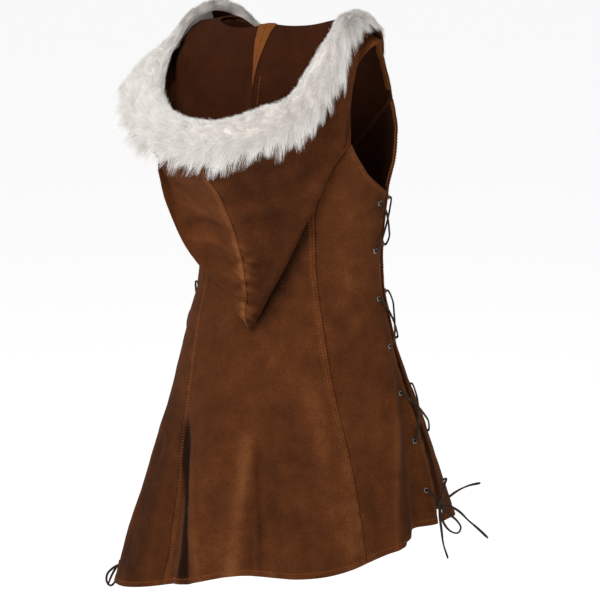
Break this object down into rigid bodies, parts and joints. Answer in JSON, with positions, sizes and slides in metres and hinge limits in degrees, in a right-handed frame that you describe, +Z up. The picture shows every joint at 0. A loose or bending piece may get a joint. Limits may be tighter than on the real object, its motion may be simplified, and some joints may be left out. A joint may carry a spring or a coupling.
{
  "type": "hooded tunic",
  "caption": "Sleeveless suede tunic with a pointed fur-edged hood lying on the back and laced open sides.",
  "frame": {"origin": "middle between the inner ends of the two shoulder seams, where a hanger or a stand's neck cap carries the tunic", "axes": "+Z up; the front faces -Y and the back with the hood faces +Y; the wearer's right is -X and the left is +X"},
  "size_m": [0.5995, 0.4248, 0.9081],
  "materials": {
    "leather": "brown suede, matte, slightly mottled",
    "turned_leather": "lighter flesh side of the turned-in hems and opened seam allowances",
    "fur": "short off-white fur with grey patches",
    "thong": "flat dark leather thong",
    "eyelet": "gunmetal eyelets"
  },
  "bodies": {
    "root": {"centre_back": "leather", "side_back_right": "leather", "side_back_left": "leather", "centre_front": "leather", "side_front_right": "leather", "side_front_left": "leather", "eyelet_right_back_1": "eyelet", "eyelet_right_front_1": "eyelet", "eyelet_right_back_2": "eyelet", "eyelet_right_front_2": "eyelet", "eyelet_right_back_3": "eyelet", "eyelet_right_front_3": "eyelet", "eyelet_right_back_4": "eyelet", "eyelet_right_front_4": "eyelet", "eyelet_right_back_5": "eyelet", "eyelet_right_front_5": "eyelet", "eyelet_right_back_6": "eyelet", "eyelet_right_front_6": "eyelet", "eyelet_right_back_7": "eyelet", "eyelet_right_front_7": "eyelet", "eyelet_left_back_1": "eyelet", "eyelet_left_front_1": "eyelet", "eyelet_left_back_2": "eyelet", "eyelet_left_front_2": "eyelet", "eyelet_left_back_3": "eyelet", "eyelet_left_front_3": "eyelet", "eyelet_left_back_4": "eyelet", "eyelet_left_front_4": "eyelet", "eyelet_left_back_5": "eyelet", "eyelet_left_front_5": "eyelet", "eyelet_left_back_6": "eyelet", "eyelet_left_front_6": "eyelet", "eyelet_left_back_7": "eyelet", "eyelet_left_front_7": "eyelet", "eyelet_left_back_8": "eyelet", "eyelet_left_front_8": "eyelet", "eyelet_left_back_9": "eyelet", "eyelet_left_front_9": "eyelet", "lace_right_a": "thong", "lace_right_b": "thong", "knot_right": "thong", "lace_left_a": "thong", "lace_left_b": "thong", "knot_left": "thong", "lace_right_end_1": "thong", "lace_right_end_2": "thong", "lace_right_end_3": "thong", "lace_right_loop": "thong", "lace_left_loop": "thong", "lace_left_end": "thong", "hood_right": "leather", "hood_left": "leather", "nape_allowance_right": "turned_leather", "nape_allowance_left": "turned_leather", "armhole_hem_right_strap": "turned_leather", "armhole_hem_left_strap": "turned_leather", "armhole_hem_right_side": "turned_leather", "armhole_hem_left_side": "turned_leather", "fur_trim": "fur"}
  },
  "joints": []
}
